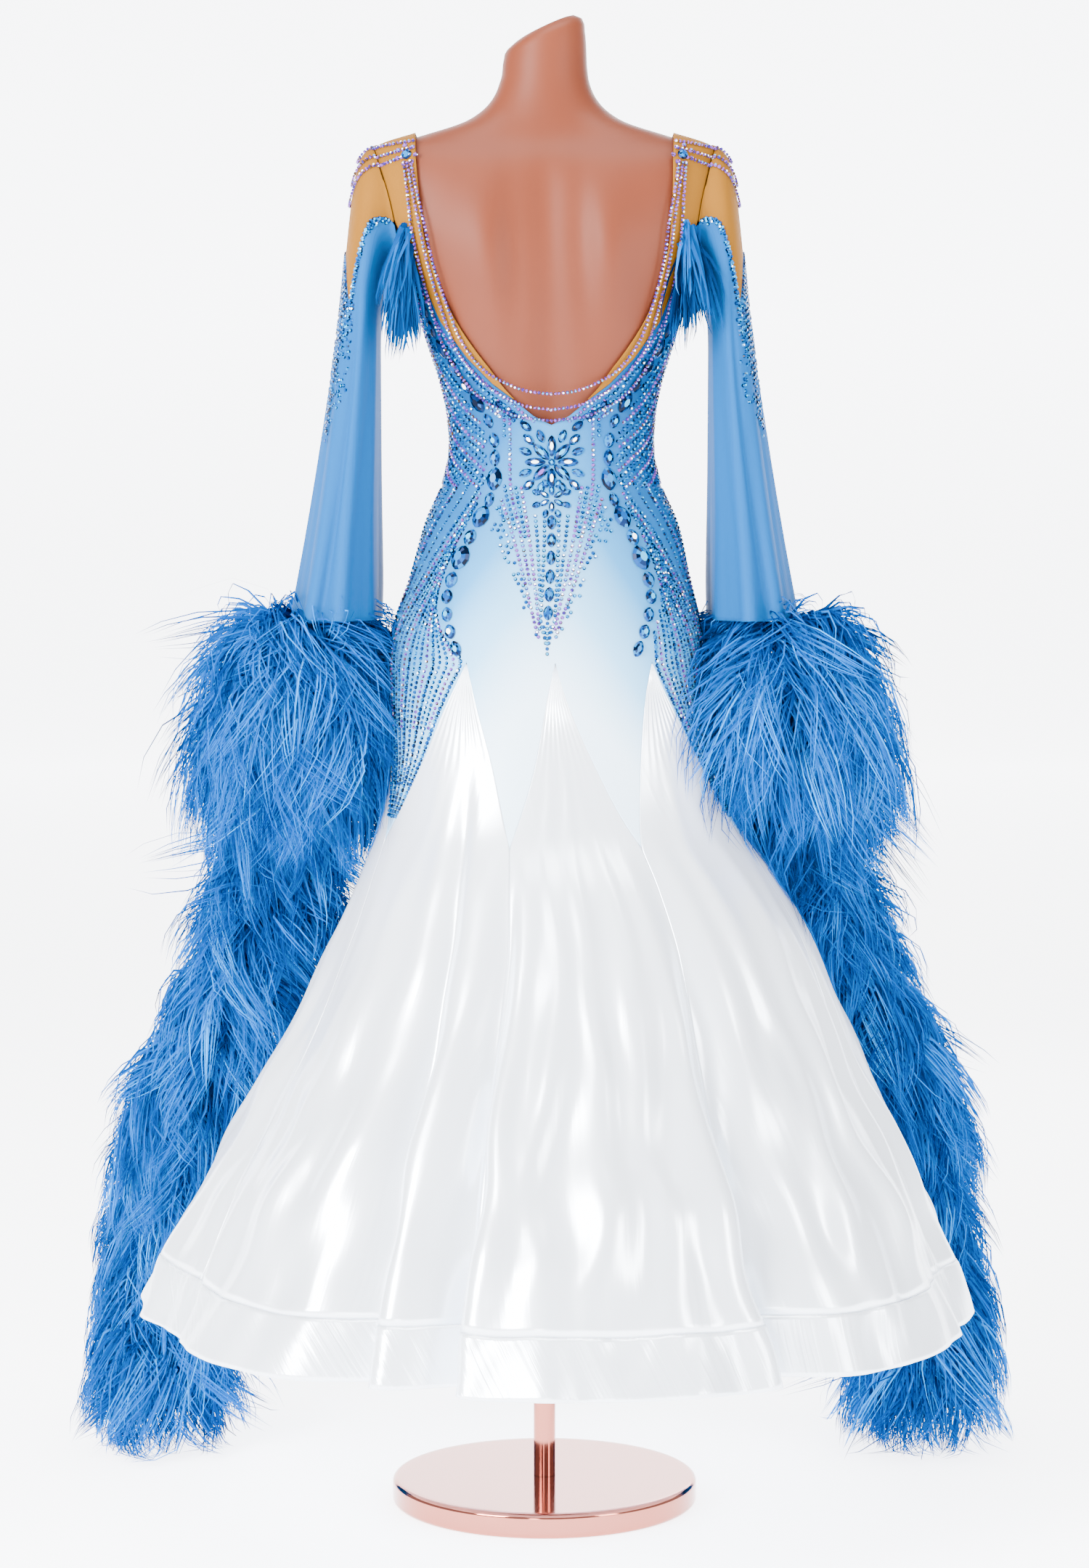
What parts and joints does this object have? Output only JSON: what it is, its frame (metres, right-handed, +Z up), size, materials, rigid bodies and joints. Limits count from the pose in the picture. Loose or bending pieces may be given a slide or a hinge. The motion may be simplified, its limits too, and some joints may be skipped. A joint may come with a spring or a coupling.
{
  "type": "ballroom gown on a dress form",
  "caption": "Long-sleeved ballroom gown with an open back, godet skirt, stone trim and feather floats, worn by a limbless dress form on a pole and round base.",
  "frame": {"origin": "middle of the round base's underside, on the floor", "axes": "+Z up along the pole, -Y towards the side that the gown's back faces, +X towards the wearer's right"},
  "size_m": [1.1094, 0.9653, 1.7248],
  "materials": {
    "form_cover": "smooth matt cover, skin pink",
    "rose_gold": "polished rose gold",
    "bodice_satin": "stretch satin that fades from azure to ice blue",
    "sleeve_satin": "thin azure stretch satin",
    "skirt_satin": "glossy white satin",
    "nude_mesh": "sheer nude stretch mesh",
    "feathers": "soft azure ostrich feather",
    "dark_feathers": "soft dark azure feather",
    "stones": "faceted glass stones with a rainbow coating"
  },
  "bodies": {
    "root": {"bodice_back": "bodice_satin", "bodice_front": "bodice_satin", "feather_cuff_left": "feathers", "feather_cuff_right": "feathers", "feather_float_left": "feathers", "feather_float_right": "feathers", "form_torso": "form_cover", "godet_back": "skirt_satin", "godet_back_left": "skirt_satin", "godet_back_right": "skirt_satin", "godet_front": "skirt_satin", "godet_front_left": "skirt_satin", "godet_front_right": "skirt_satin", "godet_left": "skirt_satin", "godet_right": "skirt_satin", "hem_band": "skirt_satin", "mesh_yoke_left": "nude_mesh", "mesh_yoke_right": "nude_mesh", "shoulder_jewel_left": "stones", "shoulder_jewel_right": "stones", "sleeve_cap_left": "nude_mesh", "sleeve_cap_right": "nude_mesh", "sleeve_left": "sleeve_satin", "sleeve_right": "sleeve_satin", "stand_base": "rose_gold", "stand_pole": "rose_gold", "stone_garland_left": "stones", "stone_garland_right": "stones", "stone_rosette": "stones", "underarm_feathers_left": "dark_feathers", "underarm_feathers_right": "dark_feathers"}
  },
  "joints": []
}
